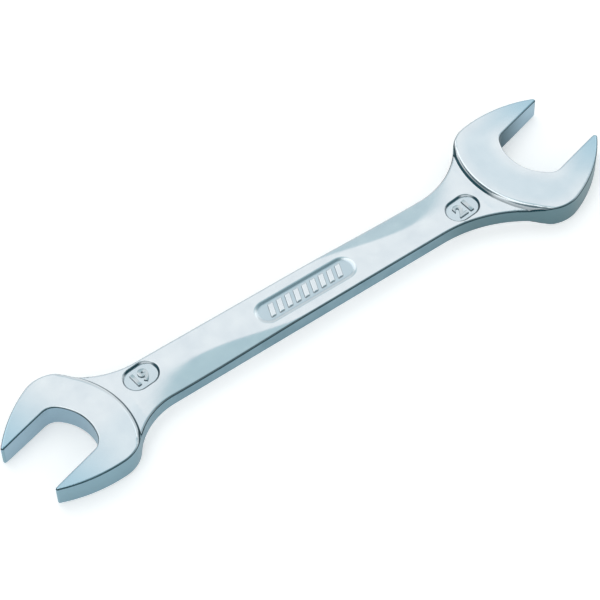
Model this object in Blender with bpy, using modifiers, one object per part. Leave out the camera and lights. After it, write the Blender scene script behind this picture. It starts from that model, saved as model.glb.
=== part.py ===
"""Double open end wrench for 19 mm and 21 mm nuts, lying flat, long axis along X.

The wrench is one drop forging. It is modelled in three solids that meet face to face:
the small jaw head, the shank with its sunk panels, and the large jaw head. Plan
outlines are chains of tangent arcs. Metres, +Z up, large jaw at +X, underside at Z 0.
"""

import math
from dataclasses import dataclass

import bmesh
import bpy
from mathutils import Matrix, Vector

MM = 0.001

# Jaws, which open at one angle to the shank, to opposite sides
JAW_ANGLE = math.radians(15.0)
JAW_CLEARANCE = 0.2 * MM
HEAD_THICKNESS = 7.5 * MM
RIM_RADIUS = 0.35 * MM

# Small head
SMALL_NUT = 19.0 * MM
SMALL_REACH = 74.5 * MM           # middle of the shank to the bottom of the throat
SMALL_JAW_DEPTH = 21.6 * MM       # bottom of the throat to the prong tips
SMALL_THROAT_RISE = 3.8 * MM      # bottom of the throat to where its arc would cut the flats
SMALL_THROAT_FILLET = 4.5 * MM
SMALL_TIP_RADIUS = 0.6 * MM
SMALL_HEAD_WIDTH = 37.9 * MM
SMALL_FRONT_RADIUS = 45.0 * MM    # long arc from the widest place to the prong tip
SMALL_CORNER_RADIUS = 10.0 * MM
SMALL_WEB = 11.3 * MM             # bottom of the throat to the back of the head
SMALL_BACK_RISE = 7.8 * MM        # how far the back arc falls away over the half width
SMALL_STEEP_FLARE = 20.6 * MM
SMALL_SHALLOW_FLARE = 26.0 * MM
SMALL_MARK_GAP = 3.15 * MM        # back of the head to the sunk size mark

# Large head
LARGE_NUT = 21.0 * MM
LARGE_REACH = 76.5 * MM
LARGE_JAW_DEPTH = 23.5 * MM
LARGE_THROAT_RISE = 4.8 * MM
LARGE_THROAT_FILLET = 4.0 * MM
LARGE_TIP_RADIUS = 0.75 * MM
LARGE_HEAD_WIDTH = 42.1 * MM
LARGE_FRONT_RADIUS = 42.8 * MM
LARGE_CORNER_RADIUS = 10.9 * MM
LARGE_WEB = 14.2 * MM
LARGE_BACK_RISE = 9.2 * MM
LARGE_STEEP_FLARE = 24.0 * MM
LARGE_SHALLOW_FLARE = 41.0 * MM
LARGE_MARK_GAP = 2.35 * MM

# Shank: a flat bar with soft edges, whose upper face sweeps down to one edge at each end
SHANK_WIDTH = 15.1 * MM           # at the middle
SHANK_TAPER = 0.006               # fall of each edge towards the large head, per unit of length
SHANK_THICKNESS = 5.0 * MM
EDGE_RADIUS = 0.7 * MM
SWEEP_LENGTH = 40.0 * MM          # from the middle of the shank to where a hollow is full width
SWEEP_DEPTH = 0.55 * MM
SWEEP_FADE = 8.0 * MM             # length over which a hollow eases off into the neck
NECK_SWEEP_SHARE = 0.5            # what is left of the hollow in the neck

# Sunk panel at the middle, with a row of plain raised ribs
PANEL_LENGTH = 33.7 * MM
PANEL_WIDTH = 8.0 * MM
PANEL_DEPTH = 0.7 * MM
PANEL_DRAFT = 0.6 * MM            # how far the wall leans out from floor to lip
RIB_COUNT = 9
RIB_PITCH = 2.9 * MM
RIB_WIDTH = 1.4 * MM
RIB_LENGTH = 4.6 * MM
RIB_HEIGHT = 0.5 * MM
RIB_SLANT = math.radians(20.0)

# Sunk size marks, with plain raised figures
MARK_LENGTH = 11.3 * MM
MARK_WIDTH = 8.3 * MM
MARK_DEPTH = 0.6 * MM
MARK_DRAFT = 0.15 * MM
MARK_OFFSET = 2.75 * MM           # from the middle line, towards the shallow flare
MARK_TILT = math.radians(5.0)
FIGURE_HEIGHT = 4.3 * MM
FIGURE_RISE = 0.4 * MM

# Construction
OVERRUN = 1.0 * MM                # how far cutters pass through a surface
JOIN_SINK = 0.05 * MM             # how far a neck runs into its head at the side
ROOT_SINK = 0.3 * MM              # how far raised figures and ribs reach into the metal
STATION_PITCH = 2.5 * MM
ARC_STEP = math.radians(7.0)
NECK_STATIONS = 6
CROWN_STATIONS = 10
CORNER_STEPS = 3
OVAL_STEPS = 10
RIM_SEGMENTS = 2
FIGURE_STEPS = 3
WELD_DISTANCE = 0.001 * MM
FLAT_ANGLE = math.radians(0.5)    # faces turned less than this are one face
RIM_ANGLE = math.radians(60.0)    # edges turned more than this are rims
CREASE_ANGLE = math.radians(30.0)

HALF_SHANK = SHANK_THICKNESS / 2
HALF_HEAD = HEAD_THICKNESS / 2
STEEL = (0.70, 0.78, 0.82, 1.0)


@dataclass(frozen=True)
class Head:
    """Sizes of one head. Its jaw frame starts at the bottom of the throat, x out of the mouth."""

    side: int
    nut: float
    reach: float
    depth: float
    throat_rise: float
    throat_fillet: float
    tip_radius: float
    width: float
    front_radius: float
    corner_radius: float
    web: float
    back_rise: float
    steep_flare: float
    shallow_flare: float
    mark_gap: float

    @property
    def half_jaw(self):
        return (self.nut + JAW_CLEARANCE) / 2

    @property
    def back_radius(self):
        return arc_radius(self.width / 2, self.back_rise)

    @property
    def throat_radius(self):
        return arc_radius(self.half_jaw, self.throat_rise)

    @property
    def back_centre(self):
        return Vector((self.back_radius - self.web, 0.0))

    @property
    def corner_centre(self):
        """Centre of the corner arc at +y, which touches the back arc and the widest line."""
        y = self.width / 2 - self.corner_radius
        reach = self.back_radius - self.corner_radius
        return Vector((self.back_centre.x - math.sqrt(reach ** 2 - y ** 2), y))

    @property
    def back_x(self):
        """How far from the middle of the shank the head begins."""
        return abs(self.place(self.back_centre).x) - self.back_radius

    @property
    def split_x(self):
        """Plane across the neck where head and shank meet."""
        return self.side * (self.back_x - self.mark_gap / 2)

    @property
    def mark_centre(self):
        x = self.back_x - self.mark_gap - MARK_LENGTH / 2
        return Vector((self.side * x, -self.side * MARK_OFFSET))

    def place(self, point):
        """Jaw frame to the wrench's plan, with the middle of the shank at the origin."""
        turn = JAW_ANGLE if self.side > 0 else JAW_ANGLE + math.pi
        turned = Matrix.Rotation(turn, 2) @ Vector(point)
        return turned + Vector((self.side * self.reach, 0.0))


SMALL = Head(
    side=-1, nut=SMALL_NUT, reach=SMALL_REACH, depth=SMALL_JAW_DEPTH,
    throat_rise=SMALL_THROAT_RISE, throat_fillet=SMALL_THROAT_FILLET, tip_radius=SMALL_TIP_RADIUS,
    width=SMALL_HEAD_WIDTH, front_radius=SMALL_FRONT_RADIUS, corner_radius=SMALL_CORNER_RADIUS,
    web=SMALL_WEB, back_rise=SMALL_BACK_RISE,
    steep_flare=SMALL_STEEP_FLARE, shallow_flare=SMALL_SHALLOW_FLARE, mark_gap=SMALL_MARK_GAP,
)
LARGE = Head(
    side=1, nut=LARGE_NUT, reach=LARGE_REACH, depth=LARGE_JAW_DEPTH,
    throat_rise=LARGE_THROAT_RISE, throat_fillet=LARGE_THROAT_FILLET, tip_radius=LARGE_TIP_RADIUS,
    width=LARGE_HEAD_WIDTH, front_radius=LARGE_FRONT_RADIUS, corner_radius=LARGE_CORNER_RADIUS,
    web=LARGE_WEB, back_rise=LARGE_BACK_RISE,
    steep_flare=LARGE_STEEP_FLARE, shallow_flare=LARGE_SHALLOW_FLARE, mark_gap=LARGE_MARK_GAP,
)


def arc_radius(half_chord, rise):
    return (half_chord ** 2 + rise ** 2) / (2 * rise)


def bearing(centre, point):
    return math.atan2(point.y - centre.y, point.x - centre.x)


def on_circle(centre, radius, angle):
    return centre + radius * Vector((math.cos(angle), math.sin(angle)))


def arc(centre, radius, start, end):
    """Points along an arc, from start to end, both ends included."""
    count = max(2, math.ceil(abs(end - start) / ARC_STEP))
    return [on_circle(centre, radius, start + (end - start) * i / count) for i in range(count + 1)]


def meeting_point(a, reach_a, b, reach_b):
    """The point at the given distances from a and b that lies on the -y side of them."""
    span = (b - a).length
    along = (reach_a ** 2 - reach_b ** 2 + span ** 2) / (2 * span)
    across = math.sqrt(reach_a ** 2 - along ** 2)
    direction = (b - a) / span
    normal = Vector((direction.y, -direction.x))
    if normal.y > 0:
        normal = -normal
    return a + along * direction + across * normal


def head_outline(head):
    """Closed outline in the jaw frame: tangent arcs from the back round each prong to the throat."""
    half = head.half_jaw
    back = head.back_centre
    corner = head.corner_centre
    tip = Vector((head.depth - head.tip_radius, half + head.tip_radius))
    front = meeting_point(corner, head.front_radius - head.corner_radius,
                          tip, head.front_radius - head.tip_radius)
    throat = Vector((head.throat_radius, 0.0))
    fillet_y = half - head.throat_fillet
    fillet_reach = head.throat_radius - head.throat_fillet
    fillet = Vector((throat.x - math.sqrt(fillet_reach ** 2 - fillet_y ** 2), fillet_y))
    upper = arc(back, head.back_radius, math.pi, bearing(back, corner))
    upper += arc(corner, head.corner_radius, bearing(back, corner), bearing(front, corner))[1:]
    upper += arc(front, head.front_radius, bearing(front, corner), bearing(front, tip))[1:]
    upper += arc(tip, head.tip_radius, bearing(front, tip), -math.pi / 2)[1:]
    upper += arc(fillet, head.throat_fillet, math.pi / 2, bearing(throat, fillet))
    upper += arc(throat, head.throat_radius, bearing(throat, fillet), math.pi)[1:]
    lower = [Vector((p.x, -p.y)) for p in reversed(upper[1:-1])]
    return upper + lower


def edge_line(y_side):
    """A point on a straight shank edge, its direction towards +X, and its outward normal."""
    direction = Vector((1.0, -y_side * SHANK_TAPER)).normalized()
    normal = y_side * Vector((-direction.y, direction.x))
    return Vector((0.0, y_side * SHANK_WIDTH / 2)), direction, normal


@dataclass(frozen=True)
class Flare:
    """Hollow arc that leads from a straight shank edge to the corner arc of a head."""

    centre: Vector
    radius: float
    start: Vector
    end: Vector


def flare(head, y_side):
    """The flare at one end and edge: steep where the head leans out, shallow on the other side."""
    steep = head.side == y_side
    radius = head.steep_flare if steep else head.shallow_flare
    corner = head.corner_centre
    jaw_side = 1 if steep else -1
    centre = head.place((corner.x, jaw_side * corner.y))
    origin, direction, normal = edge_line(y_side)
    along = (centre - origin).dot(direction)
    off = (centre - origin).dot(normal)
    span = radius + head.corner_radius - JOIN_SINK
    step_back = math.sqrt(span ** 2 - (radius - off) ** 2)
    foot = origin + (along - head.side * step_back) * direction
    middle = foot + radius * normal
    end = middle + radius * (centre - middle).normalized()
    return Flare(middle, radius, foot, end)


FLARES = {(head.side, y_side): flare(head, y_side) for head in (SMALL, LARGE) for y_side in (-1, 1)}


def edge_y(x, y_side):
    """The shank's edge in plan at x: straight along the middle, flared towards each head."""
    for side in (-1, 1):
        bend = FLARES[side, y_side]
        if side * x > side * bend.start.x:
            run = x - bend.centre.x
            return bend.centre.y - y_side * math.sqrt(bend.radius ** 2 - run ** 2)
    origin, direction, _ = edge_line(y_side)
    return origin.y + x * direction.y / direction.x


def smooth(value):
    """Eases from 0 to 1 as the value runs from 0 to 1."""
    value = min(max(value, 0.0), 1.0)
    return value * value * (3 - 2 * value)


def sweep_depth(x, y):
    """Depth of the hollow that sweeps to the -Y edge on the small head's side."""
    if x >= 0:
        return 0.0
    half = SHANK_WIDTH / 2
    run = min(-x / SWEEP_LENGTH, 1.0)
    border = -half * (1 + math.cos(math.pi * run)) / 2
    past = max(border - y, 0.0) / half
    kept = 1 - (1 - NECK_SWEEP_SHARE) * smooth((-x - SWEEP_LENGTH) / SWEEP_FADE)
    return SWEEP_DEPTH * past ** 2 * kept


def face_height(x, y):
    """Height of the upper face over the mid-plane. Its two hollows are alike, turned half round."""
    return HALF_SHANK - sweep_depth(x, y) - sweep_depth(-x, -y)


def section(low, high):
    """Ring of points round the bar, over the line from its -Y edge to its +Y edge in plan."""
    across = (high - low).normalized()
    turns = [math.pi / 2 * i / CORNER_STEPS for i in range(CORNER_STEPS)]
    corner = [(EDGE_RADIUS * (1 - math.cos(t)), EDGE_RADIUS * (1 - math.sin(t))) for t in turns]
    row = [(low + inset * across, drop) for inset, drop in corner]
    for i in range(CROWN_STATIONS + 1):
        inset = EDGE_RADIUS * (1 - 2 * i / CROWN_STATIONS)
        row.append((low.lerp(high, i / CROWN_STATIONS) + inset * across, 0.0))
    row += [(high - inset * across, drop) for inset, drop in reversed(corner)]
    upper = [Vector((p.x, p.y, face_height(p.x, p.y) - drop)) for p, drop in row]
    lower = [Vector((p.x, p.y, drop - HALF_SHANK)) for p, drop in reversed(row)]
    return upper + lower


def shank_rings():
    """Sections square to X, from one split plane to the other."""
    span = LARGE.split_x - SMALL.split_x
    count = round(span / STATION_PITCH)
    rings = []
    for i in range(count + 1):
        x = SMALL.split_x + span * i / count
        rings.append(section(Vector((x, edge_y(x, -1))), Vector((x, edge_y(x, 1)))))
    return rings


def neck_rings(head):
    """Sections that fan from the split plane to the ends of the two flares, inside the head."""
    ends = []
    for y_side in (-1, 1):
        bend = FLARES[head.side, y_side]
        first = bearing(bend.centre, Vector((head.split_x, edge_y(head.split_x, y_side))))
        last = bearing(bend.centre, bend.end)
        ends.append((bend, first, last))
    rings = []
    for i in range(NECK_STATIONS + 1):
        t = i / NECK_STATIONS
        low, high = [on_circle(b.centre, b.radius, first + (last - first) * t) for b, first, last in ends]
        rings.append(section(low, high))
    return rings


def wrench_centre():
    """Middle of the wrench's box in plan, measured from the middle of the shank."""
    points = [head.place(p) for head in (SMALL, LARGE) for p in head_outline(head)]
    xs = [p.x for p in points]
    ys = [p.y for p in points]
    return Vector(((min(xs) + max(xs)) / 2, (min(ys) + max(ys)) / 2))


CENTRE = wrench_centre()
TO_WORLD = Matrix.Translation(Vector((-CENTRE.x, -CENTRE.y, HALF_HEAD)))


def clear_scene():
    for item in list(bpy.data.objects):
        bpy.data.objects.remove(item, do_unlink=True)


def new_collection(name):
    collection = bpy.data.collections.new(name)
    bpy.context.scene.collection.children.link(collection)
    return collection


def chrome(name):
    """Chromium plate over steel."""
    material = bpy.data.materials.new(name)
    material.use_nodes = True
    shader = material.node_tree.nodes["Principled BSDF"]
    shader.inputs["Base Color"].default_value = STEEL
    shader.inputs["Metallic"].default_value = 1.0
    shader.inputs["Roughness"].default_value = 0.18
    material.diffuse_color = STEEL
    return material


def new_object(name, mesh, collection):
    item = bpy.data.objects.new(name, mesh)
    collection.objects.link(item)
    return item


def hide_tool(item):
    item.hide_render = True
    item.display_type = "WIRE"


def loft(name, rings, collection):
    """Closed skin over sections that all have the same number of points."""
    bm = bmesh.new()
    rows = [[bm.verts.new(point) for point in ring] for ring in rings]
    for row, following in zip(rows, rows[1:]):
        for i in range(len(row)):
            j = (i + 1) % len(row)
            bm.faces.new((row[i], row[j], following[j], following[i]))
    bm.faces.new(rows[0])
    bm.faces.new(rows[-1])
    bmesh.ops.recalc_face_normals(bm, faces=bm.faces)
    mesh = bpy.data.meshes.new(name)
    bm.to_mesh(mesh)
    bm.free()
    return new_object(name, mesh, collection)


def curve_to_mesh(curve_object, collection):
    """Welded mesh object in the place of a curve or text object."""
    graph = bpy.context.evaluated_depsgraph_get()
    mesh = bpy.data.meshes.new_from_object(curve_object.evaluated_get(graph))
    bm = bmesh.new()
    bm.from_mesh(mesh)
    bmesh.ops.remove_doubles(bm, verts=bm.verts, dist=WELD_DISTANCE)
    bmesh.ops.dissolve_limit(bm, angle_limit=FLAT_ANGLE, verts=bm.verts, edges=bm.edges)
    bm.to_mesh(mesh)
    bm.free()
    name = curve_object.name
    matrix = curve_object.matrix_world.copy()
    bpy.data.objects.remove(curve_object, do_unlink=True)
    item = new_object(name, mesh, collection)
    item.matrix_world = matrix
    return item


def plate(name, head, collection):
    """Flat plate of the head's outline, as thick as the head."""
    curve = bpy.data.curves.new(name, "CURVE")
    curve.dimensions = "2D"
    curve.fill_mode = "BOTH"
    curve.extrude = HALF_HEAD
    spline = curve.splines.new("POLY")
    points = [head.place(p) for p in head_outline(head)]
    spline.points.add(len(points) - 1)
    for target, point in zip(spline.points, points):
        target.co = (point.x, point.y, 0.0, 1.0)
    spline.use_cyclic_u = True
    item = new_object(name, curve, collection)
    bpy.context.view_layer.update()
    return curve_to_mesh(item, collection)


def round_rims(item):
    bevel = item.modifiers.new("rims", "BEVEL")
    bevel.width = RIM_RADIUS
    bevel.segments = RIM_SEGMENTS
    bevel.limit_method = "ANGLE"
    bevel.angle_limit = RIM_ANGLE
    bevel.use_clamp_overlap = False


def combine(item, tool, operation):
    modifier = item.modifiers.new(tool.name, "BOOLEAN")
    modifier.operation = operation
    modifier.solver = "EXACT"
    modifier.object = tool


def finish(item, material):
    item.data.materials.clear()
    item.data.materials.append(material)
    item.data.shade_smooth()
    item.data.set_sharp_from_angle(angle=CREASE_ANGLE)
    item.matrix_world = TO_WORLD @ item.matrix_world


def oval(length, width, height):
    """Ring of points round a shape with straight sides and half round ends."""
    radius = width / 2
    half = length / 2 - radius
    ring = []
    for side, start in ((1, -math.pi / 2), (-1, math.pi / 2)):
        for i in range(OVAL_STEPS + 1):
            turn = start + math.pi * i / OVAL_STEPS
            ring.append(Vector((side * half + radius * math.cos(turn), radius * math.sin(turn), height)))
    return ring


def pocket_tool(name, length, width, depth, draft, placement, collection):
    """Cutter for an oval pocket, whose walls lean out from the floor to above the face."""
    lean = draft / depth
    floor = HALF_SHANK - depth
    top = HALF_SHANK + OVERRUN
    flare_out = 2 * lean * (top - floor)
    foot = 2 * draft
    rings = [oval(length - foot, width - foot, floor),
             oval(length - foot + flare_out, width - foot + flare_out, top)]
    item = loft(name, rings, collection)
    item.matrix_world = placement
    hide_tool(item)
    return item


def rib_tool(name, placement, collection):
    """Row of slanted bars that stand on the panel's floor."""
    floor = HALF_SHANK - PANEL_DEPTH
    z = floor + (RIB_HEIGHT - ROOT_SINK) / 2
    size = Matrix.Diagonal((RIB_WIDTH, RIB_LENGTH, RIB_HEIGHT + ROOT_SINK, 1.0))
    slant = Matrix.Identity(4)
    slant[0][1] = math.tan(RIB_SLANT)
    bm = bmesh.new()
    for i in range(RIB_COUNT):
        x = (i - (RIB_COUNT - 1) / 2) * RIB_PITCH
        bmesh.ops.create_cube(bm, size=1.0, matrix=Matrix.Translation((x, 0.0, z)) @ slant @ size)
    mesh = bpy.data.meshes.new(name)
    bm.to_mesh(mesh)
    bm.free()
    item = new_object(name, mesh, collection)
    item.matrix_world = placement
    hide_tool(item)
    return item


def figure_tool(name, head, placement, collection):
    """Raised figures that give the nut size, standing on the floor of the size mark."""
    text = bpy.data.curves.new(name, "FONT")
    text.body = str(round(head.nut / MM))
    text.size = FIGURE_HEIGHT
    text.resolution_u = FIGURE_STEPS
    text.extrude = (FIGURE_RISE + ROOT_SINK) / 2
    item = new_object(name, text, collection)
    bpy.context.view_layer.update()
    item = curve_to_mesh(item, collection)
    corners = [Vector(v.co) for v in item.data.vertices]
    low = Vector([min(c[i] for c in corners) for i in range(3)])
    high = Vector([max(c[i] for c in corners) for i in range(3)])
    scale = FIGURE_HEIGHT / (high.y - low.y)
    middle = (low + high) / 2
    fit = Matrix.Diagonal((scale, scale, 1.0, 1.0)) @ Matrix.Translation(-middle)
    lift = HALF_SHANK - MARK_DEPTH + (FIGURE_RISE - ROOT_SINK) / 2
    item.data.transform(Matrix.Translation((0.0, 0.0, lift)) @ fit)
    item.matrix_world = placement
    hide_tool(item)
    return item


def face_placement(centre, tilt, face):
    """Places a tool made over the upper face at a point of the upper (1) or lower (-1) face."""
    spot = Matrix.Translation((centre.x, centre.y, 0.0))
    turn = Matrix.Rotation(tilt, 4, "Z")
    flip = Matrix.Identity(4) if face > 0 else Matrix.Rotation(math.pi, 4, "X")
    return spot @ turn @ flip


def make_head(name, head, parts, tools):
    """One jaw head: the thick plate with rounded rims, grown into its half of the neck."""
    item = plate(name, head, parts)
    round_rims(item)
    neck = loft(name + "_neck", neck_rings(head), tools)
    hide_tool(neck)
    combine(item, neck, "UNION")
    finish(item, chrome(name + "_chrome"))
    neck.matrix_world = TO_WORLD
    return item


def make_shank(name, parts, tools):
    """The bar between the necks, with its sunk panel and size marks on both faces."""
    item = loft(name, shank_rings(), parts)
    middle = Vector((0.0, 0.0))
    for face, label in ((1, "upper"), (-1, "lower")):
        place = TO_WORLD @ face_placement(middle, 0.0, face)
        pocket = pocket_tool("panel_" + label, PANEL_LENGTH, PANEL_WIDTH, PANEL_DEPTH,
                             PANEL_DRAFT, place, tools)
        combine(item, pocket, "DIFFERENCE")
        combine(item, rib_tool("ribs_" + label, place, tools), "UNION")
        for head, end in ((SMALL, "small"), (LARGE, "large")):
            place = TO_WORLD @ face_placement(head.mark_centre, MARK_TILT, face)
            pocket = pocket_tool("mark_" + end + "_" + label, MARK_LENGTH, MARK_WIDTH, MARK_DEPTH,
                                 MARK_DRAFT, place, tools)
            combine(item, pocket, "DIFFERENCE")
            figures = figure_tool("figures_" + end + "_" + label, head, place, tools)
            combine(item, figures, "UNION")
    finish(item, chrome(name + "_chrome"))
    return item


def main():
    clear_scene()
    parts = new_collection("open_end_wrench")
    tools = new_collection("cutters")
    make_head("small_jaw_head", SMALL, parts, tools)
    make_shank("shank", parts, tools)
    make_head("large_jaw_head", LARGE, parts, tools)


main()
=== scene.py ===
import math

import bmesh
import bpy
import numpy as np
from mathutils import Matrix, Vector, geometry, kdtree


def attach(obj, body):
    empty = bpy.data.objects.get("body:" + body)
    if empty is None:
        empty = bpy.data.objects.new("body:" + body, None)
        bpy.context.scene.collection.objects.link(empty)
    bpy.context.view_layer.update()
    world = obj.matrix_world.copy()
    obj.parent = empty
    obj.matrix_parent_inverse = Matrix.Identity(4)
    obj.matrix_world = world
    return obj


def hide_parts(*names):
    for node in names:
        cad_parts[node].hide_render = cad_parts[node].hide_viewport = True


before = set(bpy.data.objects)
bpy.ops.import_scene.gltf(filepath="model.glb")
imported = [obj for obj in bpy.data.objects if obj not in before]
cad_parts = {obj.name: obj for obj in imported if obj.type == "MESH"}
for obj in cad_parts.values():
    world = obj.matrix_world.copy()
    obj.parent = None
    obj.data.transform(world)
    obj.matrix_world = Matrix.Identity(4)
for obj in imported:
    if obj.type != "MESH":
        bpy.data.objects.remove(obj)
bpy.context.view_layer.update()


# The forging. Both jaw heads and the shank are one drop forging of steel, so one unbroken skin
# stands for all three CAD nodes. The dies give it heads that stand proud of the shank, and on each
# face a sunk panel and two sunk size marks. It is trimmed to its outline, and nothing is fixed to it.

# The outline, a closed chain of tangent arcs and straight runs. Plan points are complex numbers in
# mm from the middle of the shank, and the real part runs towards the large head.
JAW_ANGLE = math.radians(15.0)
SHANK_WIDTH = 15.1
SHANK_TAPER = 0.006
PIECE_TURN = math.radians(7.0)


def arc_radius(half_chord, rise):
    """Radius of the arc that rises this far over its chord."""
    return (half_chord ** 2 + rise ** 2) / (2 * rise)


class Arc:
    """Run of the outline on a circle. Metal lies on the centre's side, or outside it if hollow."""

    def __init__(self, centre, radius, start, end, hollow=False):
        self.centre, self.radius, self.hollow = centre, radius, hollow
        self.start, self.end = start, end

    def count(self, pitch):
        """Number of pieces, none longer than the pitch or bent by more than PIECE_TURN."""
        turn = abs(self.end - self.start)
        return max(2, math.ceil(max(self.radius * turn / pitch, turn / PIECE_TURN)))

    def at(self, t):
        return self.centre + self.radius * np.exp(1j * (self.start + (self.end - self.start) * t))

    def outward(self, t):
        ray = np.exp(1j * (self.start + (self.end - self.start) * t))
        return -ray if self.hollow else ray

    def inside(self, p):
        """How far the points are from the run, and 1 on the metal's side of it or -1."""
        ray = p - self.centre
        turn = self.end - self.start
        past = (np.angle(ray) - self.start) * np.sign(turn) % (2 * math.pi)
        off = np.abs(ray) - self.radius
        ends = np.minimum(np.abs(p - self.at(0.0)), np.abs(p - self.at(1.0)))
        distance = np.where(past <= abs(turn), np.abs(off), ends)
        return distance, np.where((off < 0) != self.hollow, 1, -1)

    def placed(self, turn, shift):
        centre = self.centre * np.exp(1j * turn) + shift
        return Arc(centre, self.radius, self.start + turn, self.end + turn, self.hollow)

    def mirrored(self):
        return Arc(np.conj(self.centre), self.radius, -self.end, -self.start, self.hollow)

    def backwards(self):
        return Arc(self.centre, self.radius, self.end, self.start, self.hollow)


class Straight:
    """Straight run of the outline, with metal on its left."""

    def __init__(self, start, end):
        self.start, self.end = start, end

    def count(self, pitch):
        return max(2, math.ceil(abs(self.end - self.start) / pitch))

    def at(self, t):
        return self.start + (self.end - self.start) * t

    def outward(self, t):
        return -1j * (self.end - self.start) / abs(self.end - self.start)

    def inside(self, p):
        """How far the points are from the run, and 1 on the metal's side of it or -1."""
        length = abs(self.end - self.start)
        local = (p - self.start) * length / (self.end - self.start)
        foot = np.clip(local.real, 0.0, length)
        return np.abs(local - foot), np.where(local.imag >= 0, 1, -1)

    def placed(self, turn, shift):
        ray = np.exp(1j * turn)
        return Straight(self.start * ray + shift, self.end * ray + shift)

    def mirrored(self):
        return Straight(np.conj(self.end), np.conj(self.start))


def depth_inside(p, runs):
    """Signed distance of the points inside an outline made of these runs."""
    best = np.full(p.shape, np.inf)
    sign = np.ones(p.shape)
    for run in runs:
        distance, side = run.inside(p)
        nearer = distance < best
        best = np.where(nearer, distance, best)
        sign = np.where(nearer, side, sign)
    return best * sign


def edge_line(y_side):
    """A point on a straight shank edge, its direction towards the large head, and its normal."""
    direction = (1.0 - 1j * y_side * SHANK_TAPER) / abs(1.0 + 1j * SHANK_TAPER)
    return 1j * y_side * SHANK_WIDTH / 2, direction, 1j * y_side * direction


class JawHead:
    """One jaw head. Its own frame starts at the bottom of the throat and runs out of the mouth.

    rim is the outer side of both prongs, jaw is the throat and the two flats that hold the nut,
    and step is the back of the head, where it stands over the shank. back_x is how far from the
    middle of the shank the back starts. The metal behind the throat is web thick.
    """

    def __init__(self, side, jaw, reach, depth, throat_rise, throat_fillet, tip, width, front, corner,
                 web, back_rise, steep_flare, shallow_flare, mark_gap):
        self.side, self.reach, self.depth, self.mark_gap = side, reach, depth, mark_gap
        self.turn = JAW_ANGLE if side > 0 else JAW_ANGLE + math.pi
        half_jaw = jaw / 2

        back_radius = arc_radius(width / 2, back_rise)
        back_centre = back_radius - web + 0j
        across = width / 2 - corner
        along = back_centre.real - math.sqrt((back_radius - corner) ** 2 - across ** 2)
        corner_centre = along + 1j * across
        tip_centre = depth - tip + 1j * (half_jaw + tip)
        front_centre = self.meeting(corner_centre, front - corner, tip_centre, front - tip)
        tip_end = np.angle(tip_centre - front_centre)
        widest = np.angle(corner_centre - front_centre)
        turned_in = np.angle(corner_centre - back_centre)
        prong = [Arc(tip_centre, tip, -math.pi / 2, tip_end),
                 Arc(front_centre, front, tip_end, widest)]
        back = Arc(back_centre, back_radius, turned_in, math.pi)

        throat_radius = arc_radius(half_jaw, throat_rise)
        throat_centre = throat_radius + 0j
        across = half_jaw - throat_fillet
        along = throat_radius - math.sqrt((throat_radius - throat_fillet) ** 2 - across ** 2)
        fillet_centre = along + 1j * across
        bottom = np.angle(fillet_centre - throat_centre)
        half_of_jaw = [Arc(throat_centre, throat_radius, math.pi, bottom, True),
                       Arc(fillet_centre, throat_fillet, bottom, math.pi / 2, True),
                       Straight(fillet_centre.real + 1j * half_jaw, tip_centre.real + 1j * half_jaw)]

        self.corner_centre, self.corner = corner_centre, corner
        self.flares = {y_side: self.flare(y_side, steep_flare, shallow_flare) for y_side in (-1, 1)}
        halves = {}
        for y_side, (flare_centre, _, _) in self.flares.items():
            jaw_side = 1 if self.side == y_side else -1
            bearing = np.angle(flare_centre - self.corner_by(y_side)) - self.turn
            join = jaw_side * bearing % (2 * math.pi)
            halves[jaw_side] = (prong + [Arc(corner_centre, corner, widest, join)],
                                [Arc(corner_centre, corner, join, turned_in), back], half_of_jaw)
        upper = [self.placed(runs) for runs in halves[1]]
        lower = [self.placed([run.mirrored() for run in reversed(runs)]) for runs in halves[-1]]
        self.rim = lower[0], upper[0]
        self.step = upper[1] + lower[1]
        self.jaw = lower[2] + upper[2]
        self.back_x = abs(self.place(back_centre).real) - back_radius

    @staticmethod
    def meeting(a, reach_a, b, reach_b):
        """The point at these distances from a and b that lies towards the middle of the head."""
        span = abs(b - a)
        along = (reach_a ** 2 - reach_b ** 2 + span ** 2) / (2 * span)
        way = (b - a) / span
        across = -1j * way if (-1j * way).imag < 0 else 1j * way
        return a + along * way + math.sqrt(reach_a ** 2 - along ** 2) * across

    def place(self, p):
        """Points of the head's own frame on the wrench."""
        return p * np.exp(1j * self.turn) + self.side * self.reach

    def placed(self, runs):
        return [run.placed(self.turn, self.side * self.reach) for run in runs]

    def local(self, p):
        """Points of the wrench in the head's own frame."""
        return (p - self.side * self.reach) * np.exp(-1j * self.turn)

    def corner_by(self, y_side):
        """Centre of the corner that the flare from this shank edge runs into."""
        leans_out = self.side == y_side
        return self.place(self.corner_centre if leans_out else np.conj(self.corner_centre))

    def flare(self, y_side, steep, shallow):
        """Hollow arc from a straight shank edge to the head's corner: centre, radius and foot."""
        radius = steep if self.side == y_side else shallow
        origin, direction, normal = edge_line(y_side)
        off = self.corner_by(y_side) - origin
        along = (off * np.conj(direction)).real
        out = (off * np.conj(normal)).real
        back = math.sqrt((radius + self.corner) ** 2 - (radius - out) ** 2)
        foot = origin + (along - self.side * back) * direction
        return foot + radius * normal, radius, foot

    def foot(self, y_side):
        """Where the flare from this shank edge starts."""
        return self.flares[y_side][2]

    def flare_arc(self, y_side):
        """The flare from its foot on the shank to the head's corner."""
        centre, radius, foot = self.flares[y_side]
        start = np.angle(foot - centre)
        turn = np.angle((self.corner_by(y_side) - centre) / (foot - centre))
        return Arc(centre, radius, start, start + turn, True)

    def runs(self):
        """The head's share of the outline, anticlockwise from one flare to the other."""
        return self.rim[0] + self.jaw + self.rim[1]


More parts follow.
